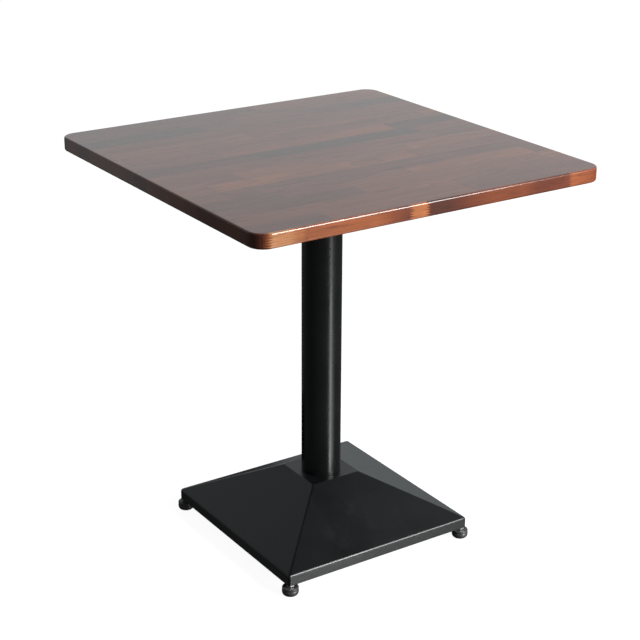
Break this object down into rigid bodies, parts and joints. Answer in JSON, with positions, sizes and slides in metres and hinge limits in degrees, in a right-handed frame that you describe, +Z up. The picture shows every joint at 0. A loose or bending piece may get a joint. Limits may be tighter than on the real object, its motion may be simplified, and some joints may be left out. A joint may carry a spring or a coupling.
{
  "type": "bistro table",
  "caption": "Square pedestal table with a solid wood top on a round steel column, a cast pyramid base and screw feet that level it on the floor.",
  "frame": {"origin": "on the floor, under the centre of the column", "axes": "+Z up; +X along the grain of the top's staves; -Y is the front long-grain edge. The base, column and top are square to X and Y"},
  "size_m": [0.7, 0.7, 0.75],
  "materials": {
    "tabletop_wood": "finger-jointed, edge-glued hardwood staves, stained dark red-brown, satin lacquer",
    "coated_cast_iron": "black powder coat, semi-gloss, slight orange peel",
    "coated_steel": "black powder coat, semi-gloss",
    "zinc_plated_steel": "bright zinc plate",
    "foot_plastic": "moulded black nylon, satin"
  },
  "bodies": {
    "root": {"tabletop": "tabletop_wood", "top_spider": "coated_cast_iron", "column_tube": "coated_steel", "base_casting": "coated_cast_iron", "tie_rod": "zinc_plated_steel", "tie_rod_top_nut": "zinc_plated_steel", "tie_rod_washer": "zinc_plated_steel", "tie_rod_spring_washer": "zinc_plated_steel", "tie_rod_bottom_nut": "zinc_plated_steel", "top_screw_front_left_inner": "zinc_plated_steel", "top_screw_front_left_outer": "zinc_plated_steel", "foot_lock_nut_front_left": "zinc_plated_steel", "top_screw_front_right_inner": "zinc_plated_steel", "top_screw_front_right_outer": "zinc_plated_steel", "foot_lock_nut_front_right": "zinc_plated_steel", "top_screw_back_right_inner": "zinc_plated_steel", "top_screw_back_right_outer": "zinc_plated_steel", "foot_lock_nut_back_right": "zinc_plated_steel", "top_screw_back_left_inner": "zinc_plated_steel", "top_screw_back_left_outer": "zinc_plated_steel", "foot_lock_nut_back_left": "zinc_plated_steel"},
    "foot_front_left": {"foot_pad_front_left": "foot_plastic"},
    "stud_front_left": {"foot_stud_front_left": "zinc_plated_steel"},
    "foot_front_right": {"foot_pad_front_right": "foot_plastic"},
    "stud_front_right": {"foot_stud_front_right": "zinc_plated_steel"},
    "foot_back_right": {"foot_pad_back_right": "foot_plastic"},
    "stud_back_right": {"foot_stud_back_right": "zinc_plated_steel"},
    "foot_back_left": {"foot_pad_back_left": "foot_plastic"},
    "stud_back_left": {"foot_stud_back_left": "zinc_plated_steel"}
  },
  "joints": [
    {"name": "foot_height_front_left", "type": "slide", "parent": "root", "child": "foot_front_left", "axis": [0, 0, -1], "range_m": [0, 0.0075]},
    {"name": "foot_screw_front_left", "type": "hinge", "parent": "foot_front_left", "child": "stud_front_left", "pos_m": [-0.193, -0.193, 0.02], "axis": [0, 0, -1], "range_deg": [0, 2160]},
    {"name": "foot_height_front_right", "type": "slide", "parent": "root", "child": "foot_front_right", "axis": [0, 0, -1], "range_m": [0, 0.0075]},
    {"name": "foot_screw_front_right", "type": "hinge", "parent": "foot_front_right", "child": "stud_front_right", "pos_m": [0.193, -0.193, 0.02], "axis": [0, 0, -1], "range_deg": [0, 2160]},
    {"name": "foot_height_back_right", "type": "slide", "parent": "root", "child": "foot_back_right", "axis": [0, 0, -1], "range_m": [0, 0.0075]},
    {"name": "foot_screw_back_right", "type": "hinge", "parent": "foot_back_right", "child": "stud_back_right", "pos_m": [0.193, 0.193, 0.02], "axis": [0, 0, -1], "range_deg": [0, 2160]},
    {"name": "foot_height_back_left", "type": "slide", "parent": "root", "child": "foot_back_left", "axis": [0, 0, -1], "range_m": [0, 0.0075]},
    {"name": "foot_screw_back_left", "type": "hinge", "parent": "foot_back_left", "child": "stud_back_left", "pos_m": [-0.193, 0.193, 0.02], "axis": [0, 0, -1], "range_deg": [0, 2160]}
  ],
  "couplings": [
    {"joint": "foot_screw_front_left", "follows": "foot_height_front_left", "rad_per_m": 5026.5},
    {"joint": "foot_screw_front_right", "follows": "foot_height_front_right", "rad_per_m": 5026.5},
    {"joint": "foot_screw_back_right", "follows": "foot_height_back_right", "rad_per_m": 5026.5},
    {"joint": "foot_screw_back_left", "follows": "foot_height_back_left", "rad_per_m": 5026.5}
  ]
}
